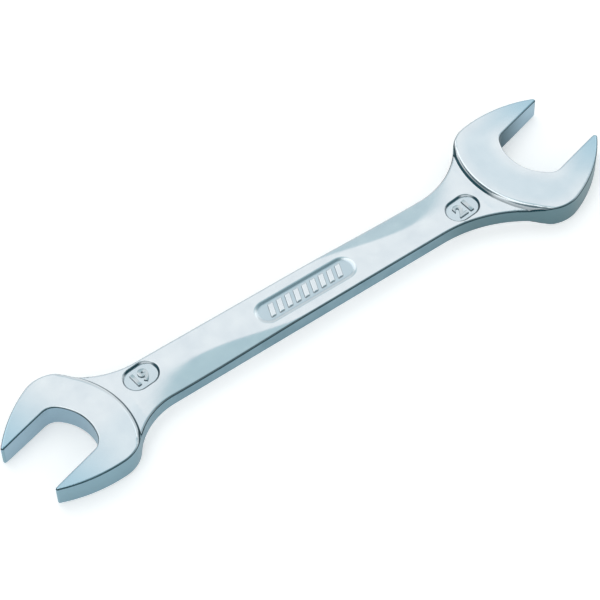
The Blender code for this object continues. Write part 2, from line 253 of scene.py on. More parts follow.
SMALL = JawHead(side=-1, jaw=19.2, reach=74.5, depth=21.6, throat_rise=3.8, throat_fillet=4.5,
                tip=0.6, width=37.9, front=45.0, corner=10.0, web=11.3, back_rise=7.8,
                steep_flare=20.6, shallow_flare=26.0, mark_gap=3.15)
LARGE = JawHead(side=1, jaw=21.2, reach=76.5, depth=23.5, throat_rise=4.8, throat_fillet=4.0,
                tip=0.75, width=42.1, front=42.8, corner=10.9, web=14.2, back_rise=9.2,
                steep_flare=24.0, shallow_flare=41.0, mark_gap=2.35)

upper_edge = Straight(LARGE.foot(1), SMALL.foot(1))
lower_edge = Straight(SMALL.foot(-1), LARGE.foot(-1))
outline = (LARGE.runs() + [LARGE.flare_arc(1).backwards(), upper_edge, SMALL.flare_arc(1)]
           + SMALL.runs() + [SMALL.flare_arc(-1).backwards(), lower_edge, LARGE.flare_arc(-1)])

# Its heights over the mid-plane, in mm. The rims roll over into the walls, and the heads fall away a
# little towards their tips and step down to the shank in a hollow root. The panel and the two size
# marks are pockets, each an oval dish with a soft lip.
HALF_HEAD = 3.75
HALF_SHANK = 2.5
ROLL_SLOPE = math.radians(72.0)
SHANK_RIM = 0.7
PRONG_RIM = 0.6
JAW_RIM = 0.5
BACK_RIM = 1.8
RIM_CHANGE = 5.0
ROOT_HOLLOW = 0.6
TIP_FALL = 0.3
FALL_START = 3.0
HEAD_MARGIN = 4.0
ON_RIM = 1e-6
PANEL = dict(centre=0j, tilt=0.0, length=34.2, width=8.5, depth=0.32, lip=1.6)
MARK_LENGTH = 11.3
MARK_OFFSET = 2.75
MARK_TILT = math.radians(5.0)


def ease(value):
    """Eases from 0 to 1 as the value runs from 0 to 1."""
    value = np.clip(value, 0.0, 1.0)
    return value * value * (3 - 2 * value)


def rising(value, start, run):
    """0 up to the start, easing to 1 at one run past it."""
    return ease((value - start) / run)


def mark(head):
    """The sunk size mark behind a head."""
    along = head.side * (head.back_x - head.mark_gap - MARK_LENGTH / 2)
    return dict(centre=along - 1j * head.side * MARK_OFFSET, tilt=MARK_TILT, length=MARK_LENGTH,
                width=8.3, depth=0.65, lip=0.75)


POCKETS = [PANEL, mark(SMALL), mark(LARGE)]


def roll(distance, radius):
    """How far a rounded rim has dropped at a distance inside its edge."""
    turned = radius * (1 - math.sin(ROLL_SLOPE))
    inset = np.clip(distance, turned, radius)
    over = radius - np.sqrt(radius ** 2 - (radius - inset) ** 2)
    return over + np.maximum(turned - distance, 0.0) * math.tan(ROLL_SLOPE)


def rooted(a, b, hollow):
    """The higher of two surfaces, with a hollow root where they meet."""
    near = np.maximum(hollow - np.abs(a - b), 0.0) / hollow
    return np.maximum(a, b) + near ** 2 * hollow / 4


def pocket_ray(p, pocket):
    """Way to each point from the middle line of a pocket, in the pocket's own directions."""
    local = (p - pocket["centre"]) * np.exp(-1j * pocket["tilt"])
    half = (pocket["length"] - pocket["width"]) / 2
    return local - np.clip(local.real, -half, half)


def pocket_inset(p, pocket):
    """Distance inside the oval lip of a pocket."""
    return pocket["width"] / 2 - np.abs(pocket_ray(p, pocket))


# The upper face of the shank is ground down to one edge at each end, in a long sweep that leaves
# the edge near the middle of the shank, crosses almost to the middle line, and turns back.
SWEEP_LENGTH = 40.0
SWEEP_SHORT = 0.65
SWEEP_RETURN = 7.0
SWEEP_SLOPE = 0.11
SWEEP_SOFT = 0.6
SOFTER_BY, SOFTER_START, SOFTER_RUN = 4.2, 36.0, 18.0
FADE_BY, FADE_START, FADE_STRETCH = 0.8, 42.0, 1.2
SMALL_SWEEP_END, LARGE_SWEEP_END = 61.0, 60.0


def sweep(p, end):
    """Depth of the sweep to the lower edge on the small head's side."""
    half = SHANK_WIDTH / 2
    out = -p.real
    run = np.clip(out / SWEEP_LENGTH, 0.0, 1.0)
    border = -half + (half - SWEEP_SHORT) * (1 - np.cos(math.pi * run)) / 2
    past = np.clip((out - SWEEP_LENGTH) / (end - SWEEP_LENGTH), 0.0, 2.0)
    border = border - SWEEP_RETURN * past ** 3
    gap = border - p.imag
    soft = SWEEP_SOFT + SOFTER_BY * rising(out, SOFTER_START, SOFTER_RUN)
    depth = np.where(gap > soft, gap, np.maximum(gap + soft, 0.0) ** 2 / (4 * soft))
    fade = 1 - FADE_BY * rising(out, FADE_START, FADE_STRETCH * (end - SWEEP_LENGTH))
    return SWEEP_SLOPE * depth * fade * (p.real < 0)


def head_height(p, head):
    """Height of a head's face, down its rims and its step, which are softest at the back."""
    out = head.local(p).real
    edge = depth_inside(p, head.rim[0] + head.rim[1])
    step = depth_inside(p, head.step)
    rim = np.where(np.abs(edge) < np.abs(step), edge, step)
    jaw = depth_inside(p, head.jaw)
    sharper = ease(0.4 + (np.abs(step) - np.abs(edge)) / RIM_CHANGE)
    radius = BACK_RIM + (PRONG_RIM - BACK_RIM) * sharper
    drop = np.maximum(roll(np.abs(rim), radius), roll(np.abs(jaw), JAW_RIM))
    outside = (rim < -ON_RIM) & (np.abs(rim) < np.abs(jaw)) & (out < 0.0)
    drop = np.where(outside, roll(rim, radius), drop)
    fall = np.clip((out - FALL_START) / (head.depth - FALL_START), 0.0, 1.0)
    return HALF_HEAD - drop - TIP_FALL * fall ** 2


def height(p, upper):
    """Height of the upper or lower face over the mid-plane."""
    skin = HALF_SHANK - roll(np.maximum(depth_inside(p, outline), 0.0), SHANK_RIM)
    if upper:
        skin = skin - sweep(p, SMALL_SWEEP_END) - sweep(-p, LARGE_SWEEP_END)
    for pocket in POCKETS:
        skin = skin - pocket["depth"] * rising(pocket_inset(p, pocket), start=0.0, run=pocket["lip"])
    for head in (SMALL, LARGE):
        short = head.side * p.real < abs(head.back_x) - HEAD_MARGIN
        skin = np.where(short, skin, rooted(skin, head_height(p, head), ROOT_HOLLOW))
    return skin


# Its plan points, in mm: the outline, shaved so that it stays inside the CAD solids, rows that
# follow the rims, the head steps and the lips of the pockets, and a grid between them.
SHAVE = 0.025
RIM_PITCH = 0.8
RIM_ROWS = (0.03, 0.075, 0.15, 0.26, 0.42, 0.65, 0.95, 1.25, 1.55, 1.8, 2.05)
ROW_STRAY = 0.004
STEP_PITCH = 0.5
STEP_ROWS = (2.05, 1.8, 1.55, 1.3, 1.05, 0.85, 0.65, 0.45, 0.3, 0.17, 0.05,
             -0.05, -0.15, -0.27, -0.42, -0.6, -0.9)
STEP_CLEAR = 0.2
LIP_PITCH = 0.45
LIP_ROWS = 9
GRID_X, GRID_Y = 0.9, 0.78
GRID_CLEAR = 2.3
POINTS_APART = 0.45
WELD = 1e-5

rim_points, rim_normals = [], []
for run in outline:
    n = run.count(RIM_PITCH)
    for i in range(n):
        rim_points.append(run.at(i / n))
        rim_normals.append(run.outward(i / n))
rim_normals = np.array(rim_normals)
rim_points = np.array(rim_points) - SHAVE * rim_normals
rim_count = len(rim_points)

rows = []
trimmed = rim_points + SHAVE * rim_normals
for inset in RIM_ROWS:
    moved = trimmed - (inset + SHAVE) * rim_normals
    stray = np.abs(depth_inside(moved, outline) - (inset + SHAVE))
    rows.append(moved[stray < ROW_STRAY])
for head in (SMALL, LARGE):
    step_points, step_normals = [], []
    for run in head.step:
        n = run.count(STEP_PITCH)
        for i in range(n + 1):
            step_points.append(run.at(i / n))
            step_normals.append(run.outward(i / n))
    for inset in STEP_ROWS:
        moved = np.array(step_points) - inset * np.array(step_normals)
        rows.append(moved[depth_inside(moved, outline) > STEP_CLEAR])
for pocket in POCKETS:
    lip_radius = pocket["width"] / 2
    half = pocket["length"] / 2 - lip_radius
    for i in range(LIP_ROWS):
        radius = lip_radius - pocket["lip"] * (i - 0.5) / (LIP_ROWS - 2)
        bend = math.pi * radius
        lap = 2 * bend + 4 * half
        n = math.ceil(lap / LIP_PITCH)
        at = np.arange(n) * lap / n
        first_end = np.clip(at - half, 0, bend) / radius
        second_end = np.clip(at - half * 3 - bend, 0, bend) / radius
        along = np.minimum(at, half) - np.clip(at - half - bend, 0, 2 * half)
        along = along + np.clip(at - 3 * half - 2 * bend, 0, half)
        ring = along + radius * np.exp(1j * (math.pi / 2 - first_end - second_end))
        rows.append(ring * np.exp(1j * pocket["tilt"]) + pocket["centre"])


def within(p, corners):
    """Whether each point lies inside a closed polygon."""
    inside = np.zeros(p.shape, bool)
    for a, b in zip(corners, np.roll(corners, -1)):
        crosses = (a.imag > p.imag) != (b.imag > p.imag)
        if crosses.any():
            at = a.real + (p.imag - a.imag) * (b.real - a.real) / (b.imag - a.imag)
            inside ^= crosses & (p.real < at)
    return inside


low = complex(rim_points.real.min(), rim_points.imag.min())
high = complex(rim_points.real.max(), rim_points.imag.max())
xs, ys = np.meshgrid(np.arange(low.real, high.real, GRID_X), np.arange(low.imag, high.imag, GRID_Y))
grid = (xs + GRID_X / 2 * (np.arange(len(xs)) % 2)[:, None] + 1j * ys).ravel()
grid = grid[within(grid, rim_points)]
grid = grid[np.abs(depth_inside(grid, outline)) > GRID_CLEAR]

plan = list(rim_points) + [p for points in rows for p in points]
taken = kdtree.KDTree(len(plan))
for i, p in enumerate(plan):
    taken.insert((p.real, p.imag, 0.0), i)
taken.balance()
plan += [p for p in grid if taken.find((p.real, p.imag, 0.0))[2] > POINTS_APART]
plan = np.array(plan)

loop = [(i, (i + 1) % rim_count) for i in range(rim_count)]
corners = [Vector((p.real, p.imag)) for p in plan]
_, _, cut_faces, cut_from, _, _ = geometry.delaunay_2d_cdt(corners, loop, [], 0, WELD)
triangles = np.array([[cut_from[i][0] for i in face] for face in cut_faces])
triangles = triangles[within(plan[triangles].mean(axis=1), rim_points)]
a, b, c = plan[triangles].T
turned = ((b - a) * np.conj(c - a)).imag > 0
triangles[turned] = triangles[turned][:, ::-1]

# Its skin: both faces over the same plan points, closed by a plumb wall along the outline. The
# normals come from the heights, so that the polish is as smooth as the real one.
MM_IN_M = 1000.0
PROBE = 0.004

plan_middle = (low + high) / 2
wall_normals = np.stack([rim_normals.real, rim_normals.imag, np.zeros(rim_count)], axis=1)
points, normals = [], []
for upper, sign in ((True, 1), (False, -1)):
    flat = plan - plan_middle
    points.append(np.stack([flat.real, flat.imag, sign * height(plan, upper) + HALF_HEAD], axis=1))
    slopes = [(height(plan + way, upper) - height(plan - way, upper)) / (2 * PROBE)
              for way in (PROBE, 1j * PROBE)]
    normal = np.stack([-slopes[0], -slopes[1], np.ones(len(plan))], axis=1)
    normal[:rim_count] = wall_normals
    normal /= np.linalg.norm(normal, axis=1)[:, None]
    normal[:, 2] *= sign
    normals.append(normal)

count = len(plan)
faces = [tuple(t) for t in triangles]
faces += [tuple(t[::-1] + count) for t in triangles]
faces += [(i, i + count, j + count, j) for i, j in loop]
mesh = bpy.data.meshes.new("forging")
mesh.from_pydata((np.concatenate(points) / MM_IN_M).tolist(), [], faces)
mesh.shade_smooth()
mesh.normals_split_custom_set_from_vertices(np.concatenate(normals).tolist())

# Its masks, each from 0 to 1, which give the plating its tones, mostly painted shade: flank on the walls
# and where the skin turns over into them, painted darker, hollow for painted shade in roots and lips,
# sunk on the floors of the pockets, which are satin with a painted shade, ground in the jaws, where the
# walls' painted shade is paler, and prong for a painted cooler shade towards the ends of the heads.
# Distances are in mm, and bearings in radians.
NEAR_STEP = 2.1
ON_JAW = 0.05
ON_LIP = 0.1
ON_HEAD = 60.0
LARGE_STEP_FROM = 55.0
FLAT_FROM = 8.0
GLINT_BEARING = 0.85
LIPS = (dict(pocket=POCKETS[0], painted_highlight=0.0, least=0.1, gain=0.35, aim=0.8),
        dict(pocket=POCKETS[1], painted_highlight=0.97, least=0.28, gain=0.7, aim=-0.2),
        dict(pocket=POCKETS[2], painted_highlight=0.97, least=0.28, gain=0.5, aim=0.8))


def both_faces(values):
    return np.concatenate([values, values])


upright = [np.abs(normal[:, 2]) for normal in normals]
off_rim = np.abs(depth_inside(plan, outline))
off_step = np.abs(depth_inside(plan, LARGE.step))
off_small_step = np.abs(depth_inside(plan, SMALL.step))
off_large_jaw = np.abs(depth_inside(plan, LARGE.jaw))
off_small_jaw = np.abs(depth_inside(plan, SMALL.jaw))

# inner keeps the painted shade off the outer rims, and thin picks the steps behind the heads, whose
# painted shade shows as thin lines
inner = rising(off_rim, start=0.9, run=0.5)
thin = inner * (np.minimum(off_step, off_small_step) < NEAR_STEP)
flank = np.concatenate([
    1 - rising(up, start=0.35 + 0.1 * thin, run=0.53 - 0.23 * thin) for up in upright])

# The painted shade along the large head's step dies out towards the near edge of the shank
spent = (rising(-plan.imag, start=-1.0, run=7.0) * (plan.real > LARGE_STEP_FROM)
         * (1 - rising(off_step, start=1.2, run=0.8)) * rising(off_rim, start=0.1, run=0.3))
flank = flank * (1 - 0.88 * both_faces(spent))
inner = inner * (1 - 0.75 * spent)

# A pocket's lip has a painted shade, darkest on the side that its aim bears on. The lips of the marks
# also have a painted highlight at one corner and round the end towards the small head.
for lip in LIPS:
    ray = pocket_ray(plan, lip["pocket"])
    bearing = np.angle(ray)
    on_lip = rising(pocket_inset(plan, lip["pocket"]), start=-ON_LIP, run=ON_LIP)
    off_corner = rising(np.abs(bearing - GLINT_BEARING), start=0.216, run=0.72)
    glint = lip["painted_highlight"] * (1 - off_corner) * on_lip
    bright_end = lip["painted_highlight"] * rising(np.abs(bearing), start=1.6, run=0.7) * on_lip
    flank = flank * (1 - both_faces(np.maximum(glint, bright_end)))
    inner = inner * (1 - np.maximum(0.9 * glint, 0.2 * bright_end))
    toward = (ray * np.exp(-1j * lip["aim"])).real / np.maximum(np.abs(ray), 0.001)
    dark = lip["least"] + lip["gain"] * rising(toward, start=-0.2, run=1.0)
    inner = inner * (1 - (1 - dark) * on_lip)

# Painted shade: one flat of the large jaw is painted dark by the throat, clearing towards the tip
in_jaw = LARGE.local(plan)
on_flat = (off_large_jaw < ON_JAW) * (in_jaw.imag > FLAT_FROM)
jaw_flat_shade = 0.95 * on_flat * (1 - rising(in_jaw.real, start=3.0, run=17.0))
# hollow is painted shade in roots and lips, together with the jaw flat's painted shade
hollow = np.concatenate([
    np.maximum(inner * (1 - rising(up, start=0.6 - 0.08 * thin, run=0.28 - 0.1 * thin)), jaw_flat_shade)
    for up in upright])

sunk = sum(share * rising(pocket_inset(plan, pocket), start=0.0, run=pocket["lip"])
           for pocket, share in zip(POCKETS, (1.0, 0.6, 0.6)))
ground = (np.minimum(off_small_jaw, off_large_jaw) < ON_JAW).astype(float)

# Painted shade: the faces turn a darker, cooler blue towards the ends of the heads
near_prong = 0.2 * rising(SMALL.local(plan).imag, start=3.0, run=7.0)
off_edges = 0.3 * rising(np.minimum(off_rim, off_step), start=0.0, run=5.0)
prong = 0.0
for head, share, start in ((SMALL, near_prong, -2.0), (LARGE, off_edges, 1.0)):
    out = head.local(plan).real
    cool = share + (1 - share) * rising(out, start=start, run=head.depth - 1.0 - start)
    prong = prong + cool * (head.side * plan.real > ON_HEAD)

for name, values in (("flank", flank), ("sunk", both_faces(sunk)), ("ground", both_faces(ground)),
                     ("prong", both_faces(prong)), ("hollow", hollow)):
    layer = mesh.attributes.new(name, "FLOAT", "POINT")
    layer.data.foreach_set("value", values.astype(np.float32))
forging = bpy.data.objects.new("forging", mesh)
bpy.context.scene.collection.objects.link(forging)


def linear(code):
    """sRGB hex to a linear colour."""
    parts = [int(code[i:i + 2], 16) / 255 for i in (1, 3, 5)]
    return tuple(v / 12.92 if v <= 0.04045 else ((v + 0.055) / 1.055) ** 2.4 for v in parts) + (1.0,)


def add(tree, kind, inputs=(), **settings):
    """Adds a node with its settings, and gives each of these inputs a value or a link."""
    node = tree.nodes.new(kind)
    for name, value in settings.items():
        setattr(node, name, value)
    for socket, source in dict(inputs).items():
        if isinstance(source, bpy.types.NodeSocket):
            tree.links.new(source, node.inputs[socket])
        else:
            node.inputs[socket].default_value = source
    return node


# Its finish, chromium plate over steel. The faces are polished, the walls were only tumbled before
# plating, and the jaws are ground. The eye sees a bright cold mirror with a faint wave on the faces,
# softer walls with a darker grey-blue painted shade, and a painted dark line of shade where a shoulder
# turns over.
# The clouds in its tone are 6 mm across, and the waves that the buffing wheel left 11 mm. The grain
# from tumbling is under 0.1 mm, too fine to show, so it is drawn at 0.4 mm.
CLOUDS_IN_M = 160.0
WAVES_IN_M = 90.0
GRAINS_IN_M = 2500.0

# A Mix node's colour sockets, by number, since their names find its sockets for plain numbers first
MIX_FROM, MIX_TO, MIXED = 6, 7, 2

plate = bpy.data.materials.new("chromium_plate")
plate.use_nodes = True
tree = plate.node_tree
shader = tree.nodes["Principled BSDF"]
place = add(tree, "ShaderNodeTexCoord").outputs["Object"]
along = add(tree, "ShaderNodeSeparateXYZ", {"Vector": place}).outputs["X"]
mask = {name: add(tree, "ShaderNodeAttribute", attribute_name=name).outputs["Fac"]
        for name in ("flank", "sunk", "ground", "prong", "hollow")}
cloud, grain, wave = (
    add(tree, "ShaderNodeTexNoise", {"Vector": place, "Scale": scale, "Detail": detail}).outputs["Fac"]
    for scale, detail in ((CLOUDS_IN_M, 3.0), (GRAINS_IN_M, 2.0), (WAVES_IN_M, 1.0)))

# The face tone has random clouds, a darker blue on the pocket floors that is painted shade on a satin
# finish, and a painted cooler shade towards the ends of the heads
pooled = add(tree, "ShaderNodeMath", {0: mask["sunk"], 1: 0.55}, operation="MULTIPLY").outputs[0]
face_tone = linear("#C3CDD4")
for share, code in ((cloud, "#D8DFE2"), (pooled, "#A9BEC9"), (mask["prong"], "#9DBBC9")):
    face_tone = add(tree, "ShaderNodeMix", {"Factor": share, MIX_FROM: face_tone, MIX_TO: linear(code)},
                    data_type="RGBA").outputs[MIXED]

# Painted light and shade: the walls are paler along the small head and darker along the large one
small_end, large_end = (
    add(tree, "ShaderNodeMapRange", {"Value": along, "From Min": start, "From Max": end},
        interpolation_type="SMOOTHSTEP").outputs["Result"]
    for start, end in ((-0.066, -0.082), (0.03, 0.055)))
# The walls' grey-blue tone is painted shade, with random clouds in it, and paler in the ground jaws
wall_tone = linear("#6A8A97")
for share, code in ((cloud, "#90ACB7"), (small_end, "#89A7B3"), (large_end, "#69848B"),
                    (mask["ground"], "#9BB5C3")):
    wall_tone = add(tree, "ShaderNodeMix", {"Factor": share, MIX_FROM: wall_tone, MIX_TO: linear(code)},
                    data_type="RGBA").outputs[MIXED]

# The shoulder line is painted shade. It peaks where the skin is half turned over, and is gone on a face
# and on a wall
turning = add(tree, "ShaderNodeMath", {0: mask["flank"], 1: 0.5}, operation="SUBTRACT").outputs[0]
turning = add(tree, "ShaderNodeMath", {0: turning, 1: turning}, operation="MULTIPLY").outputs[0]
shoulder_shade = add(tree, "ShaderNodeMath", {0: turning, 1: -5.0, 2: 1.25}, operation="MULTIPLY_ADD",
               use_clamp=True).outputs[0]
# Painted shade over the faces: the walls' tone, the dark shoulder line, and the dark roots and lips
plating = face_tone
for share, colour in ((mask["flank"], wall_tone), (shoulder_shade, linear("#0E343D")),
                      (mask["hollow"], linear("#2E525D"))):
    plating = add(tree, "ShaderNodeMix", {"Factor": share, MIX_FROM: plating, MIX_TO: colour},
                  data_type="RGBA").outputs[MIXED]

polish = add(tree, "ShaderNodeMath", {0: mask["sunk"], 1: 0.14, 2: 0.15},
             operation="MULTIPLY_ADD").outputs[0]
satin = add(tree, "ShaderNodeMix", {"Factor": mask["flank"], "A": polish, "B": 0.40}).outputs["Result"]
tumbled = add(tree, "ShaderNodeBump", {"Height": grain, "Strength": 0.06, "Distance": 0.0002})
buffed = add(tree, "ShaderNodeBump", {"Height": wave, "Strength": 1.0, "Distance": 0.00004,
                                      "Normal": tumbled.outputs["Normal"]})
tree.links.new(plating, shader.inputs["Base Color"])
tree.links.new(satin, shader.inputs["Roughness"])
tree.links.new(buffed.outputs["Normal"], shader.inputs["Normal"])
shader.inputs["Metallic"].default_value = 1.0
mesh.materials.append(plate)

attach(forging, "root")
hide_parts("small_jaw_head", "shank", "large_jaw_head")


# The panel ribs. Nine plain slanted ribs stand on the floor of each sunk panel. The dies raise them
# from the same steel, with soft edges, and they are plated with the rest. Sizes are in mm.
RIB_COUNT = 9
RIB_PITCH = 2.9
RIB_SIZE = (1.9, 4.7, 0.8)
RIB_EDGE = 0.4
RIB_SLANT = math.radians(20.0)
RIB_SEAT = 0.12

tree = bpy.data.node_groups.new("slanted_ribs", "GeometryNodeTree")
for name, kind in (("Geometry", "Geometry"), ("Count", "Int"), ("Pitch", "Float"), ("Size", "Vector"),
                   ("Edge", "Float"), ("Slant", "Float"), ("Lift", "Float"), ("Middle", "Vector"),
                   ("Finish", "Material")):
    tree.interface.new_socket(name, in_out="INPUT", socket_type="NodeSocket" + kind)
tree.interface.new_socket("Geometry", in_out="OUTPUT", socket_type="NodeSocketGeometry")
sizes = add(tree, "NodeGroupInput").outputs

# One rib: a bar whose edges are rounded by holding its points to a smaller bar and an edge radius
bar = add(tree, "GeometryNodeMeshCube",
          {"Size": sizes["Size"], "Vertices X": 11, "Vertices Y": 25, "Vertices Z": 7}).outputs["Mesh"]
spot = add(tree, "GeometryNodeInputPosition").outputs["Position"]
half = add(tree, "ShaderNodeVectorMath", {0: sizes["Size"], "Scale": 0.5}, operation="SCALE").outputs[0]
core = add(tree, "ShaderNodeVectorMath", {0: half, 1: sizes["Edge"]}, operation="SUBTRACT").outputs[0]
far_core = add(tree, "ShaderNodeVectorMath", {0: core, "Scale": -1.0}, operation="SCALE").outputs[0]
held = add(tree, "ShaderNodeVectorMath", {0: spot, 1: core}, operation="MINIMUM").outputs[0]
held = add(tree, "ShaderNodeVectorMath", {0: held, 1: far_core}, operation="MAXIMUM").outputs[0]
off = add(tree, "ShaderNodeVectorMath", {0: spot, 1: held}, operation="SUBTRACT").outputs[0]
off = add(tree, "ShaderNodeVectorMath", {0: off}, operation="NORMALIZE").outputs[0]
off = add(tree, "ShaderNodeVectorMath", {0: off, "Scale": sizes["Edge"]}, operation="SCALE").outputs[0]
soft = add(tree, "ShaderNodeVectorMath", {0: held, 1: off}, operation="ADD").outputs[0]
soft = add(tree, "ShaderNodeSeparateXYZ", {0: soft}).outputs
slant = add(tree, "ShaderNodeMath", {0: sizes["Slant"]}, operation="TANGENT").outputs[0]
slanted = add(tree, "ShaderNodeMath", {0: soft["Y"], 1: slant, 2: soft["X"]},
              operation="MULTIPLY_ADD").outputs[0]
lifted = add(tree, "ShaderNodeMath", {0: soft["Z"], 1: sizes["Lift"]}, operation="ADD").outputs[0]
spot = add(tree, "ShaderNodeCombineXYZ", {"X": slanted, "Y": soft["Y"], "Z": lifted}).outputs[0]
bar = add(tree, "GeometryNodeSetPosition", {"Geometry": bar, "Position": spot}).outputs[0]

# The row of ribs along the panel, and the same row turned under for the lower face
gaps = add(tree, "ShaderNodeMath", {0: sizes["Count"], 1: 1.0}, operation="SUBTRACT").outputs[0]
reach = add(tree, "ShaderNodeMath", {0: gaps, 1: sizes["Pitch"]}, operation="MULTIPLY").outputs[0]
first = add(tree, "ShaderNodeMath", {0: reach, 1: -0.5}, operation="MULTIPLY").outputs[0]
first = add(tree, "ShaderNodeCombineXYZ", {"X": first}).outputs[0]
stride = add(tree, "ShaderNodeCombineXYZ", {"X": sizes["Pitch"]}).outputs[0]
line = add(tree, "GeometryNodeMeshLine",
           {"Count": sizes["Count"], "Start Location": first, "Offset": stride}).outputs[0]
ribs = add(tree, "GeometryNodeInstanceOnPoints", {"Points": line, "Instance": bar}).outputs[0]
ribs = add(tree, "GeometryNodeRealizeInstances", {"Geometry": ribs}).outputs[0]
under = add(tree, "GeometryNodeTransform", {"Geometry": ribs, "Rotation": (math.pi, 0, 0)}).outputs[0]
both = add(tree, "GeometryNodeJoinGeometry", {"Geometry": ribs})
tree.links.new(under, both.inputs[0])
both = add(tree, "GeometryNodeTransform",
           {"Geometry": both.outputs[0], "Translation": sizes["Middle"]}).outputs[0]
both = add(tree, "GeometryNodeSetShadeSmooth", {"Geometry": both}).outputs[0]

# The ribs' sides take the plating's painted shade, its hollow tone
up = add(tree, "GeometryNodeInputNormal").outputs[0]
up = add(tree, "ShaderNodeSeparateXYZ", {0: up}).outputs["Z"]
up = add(tree, "ShaderNodeMath", {0: up}, operation="ABSOLUTE").outputs[0]
tone = add(tree, "ShaderNodeMapRange",
           {"Value": up, "From Min": 0.9, "From Max": 0.35, "To Max": 0.8}).outputs[0]
both = add(tree, "GeometryNodeStoreNamedAttribute",
           {"Geometry": both, "Name": "hollow", "Value": tone}).outputs[0]
both = add(tree, "GeometryNodeRealizeInstances", {"Geometry": both}).outputs[0]
both = add(tree, "GeometryNodeSetMaterial", {"Geometry": both, "Material": sizes["Finish"]}).outputs[0]
add(tree, "NodeGroupOutput", {"Geometry": both})

seat = bpy.data.objects.new("panel_ribs_seat", bpy.data.meshes.new("panel_ribs_seat"))
bpy.context.scene.collection.objects.link(seat)
maker = seat.modifiers.new("ribs", "NODES")
maker.node_group = tree
wanted = {"Count": RIB_COUNT, "Pitch": RIB_PITCH / MM_IN_M, "Edge": RIB_EDGE / MM_IN_M,
          "Size": tuple(v / MM_IN_M for v in RIB_SIZE), "Slant": RIB_SLANT,
          "Lift": (HALF_SHANK - PANEL["depth"] - RIB_SEAT) / MM_IN_M,
          "Middle": (-plan_middle.real / MM_IN_M, -plan_middle.imag / MM_IN_M, HALF_HEAD / MM_IN_M),
          "Finish": plate}
for item in tree.interface.items_tree:
    if item.in_out == "INPUT" and item.name in wanted:
        maker[item.identifier] = wanted[item.name]
seat.update_tag()
bpy.context.view_layer.update()
ready = seat.evaluated_get(bpy.context.evaluated_depsgraph_get())
panel_ribs = bpy.data.objects.new("panel_ribs", bpy.data.meshes.new_from_object(ready))
bpy.data.objects.remove(seat)
bpy.context.scene.collection.objects.link(panel_ribs)
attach(panel_ribs, "root")


# The size figures. The nut sizes stand raised on the floor of each sunk mark, on both faces. They
# are steel of the same forging, raised by the dies in a plain face with soft edges. Sizes are in mm.
FIGURE_BODY = 6.0
FIGURE_HEIGHT = 4.5
FIGURE_RISE = 0.35
FIGURE_BEVEL = 0.12
FIGURE_WEIGHT = 0.22
FIGURE_SPACING = 1.08
FIGURE_LIFT = 0.05
FIGURE_WELD = 0.002

figures = bmesh.new()
for head, words in ((SMALL, "19"), (LARGE, "21")):
    text = bpy.data.curves.new("figures", "FONT")
    text.body = words
    text.size = FIGURE_BODY
    text.align_x = "CENTER"
    text.resolution_u = 6
    text.offset = FIGURE_WEIGHT
    text.space_character = FIGURE_SPACING
    text.bevel_depth = FIGURE_BEVEL
    text.bevel_resolution = 2
    text.extrude = FIGURE_RISE - FIGURE_BEVEL
    item = bpy.data.objects.new("figures", text)
    bpy.context.scene.collection.objects.link(item)
    bpy.context.view_layer.update()
    ready = item.evaluated_get(bpy.context.evaluated_depsgraph_get())
    drawn = bpy.data.meshes.new_from_object(ready)
    bpy.data.objects.remove(item)
    co = np.array([v.co for v in drawn.vertices])
    size = co.max(0) - co.min(0)
    co = co - (co.max(0) + co.min(0)) / 2
    co[:, :2] *= FIGURE_HEIGHT / size[1]
    sunk_mark = mark(head)
    for sign in (1, -1):
        p = (co[:, 0] + 1j * sign * co[:, 1]) * np.exp(1j * sunk_mark["tilt"])
        p = p + sunk_mark["centre"] - plan_middle
        z = HALF_HEAD + sign * (HALF_SHANK - sunk_mark["depth"] + FIGURE_LIFT + co[:, 2])
        face = drawn.copy()
        face.vertices.foreach_set("co", (np.stack([p.real, p.imag, z], axis=1) / MM_IN_M).ravel())
        figures.from_mesh(face)
bmesh.ops.remove_doubles(figures, verts=figures.verts, dist=FIGURE_WELD / MM_IN_M)
bmesh.ops.recalc_face_normals(figures, faces=figures.faces)
figures_mesh = bpy.data.meshes.new("size_figures")
figures.to_mesh(figures_mesh)
figures.free()
figures_mesh.shade_smooth()
figures_mesh.set_sharp_from_angle(angle=math.radians(40.0))

# Their tops take a little of the plating's painted shade, its hollow tone, and their sides more
up = np.abs(np.array([v.vector[2] for v in figures_mesh.vertex_normals]))
tone = 0.25 + 0.3 * (1 - rising(up, start=0.3, run=0.5))
layer = figures_mesh.attributes.new("hollow", "FLOAT", "POINT")
layer.data.foreach_set("value", tone.astype(np.float32))
figures_mesh.materials.clear()
figures_mesh.materials.append(plate)
size_figures = bpy.data.objects.new("size_figures", figures_mesh)
bpy.context.scene.collection.objects.link(size_figures)
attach(size_figures, "root")


# The floor. A plain table covered with matt white card, an even ground without shine, which carries
# the two heads and takes the wrench's shadow. A glow lifts it to white where the camera or the
# plating sees it, and adds no other light. Lengths are in metres.
FLOOR_SIZE = 6.0
FLOOR_DROP = 0.0001
FLOOR_GLOW = 0.43

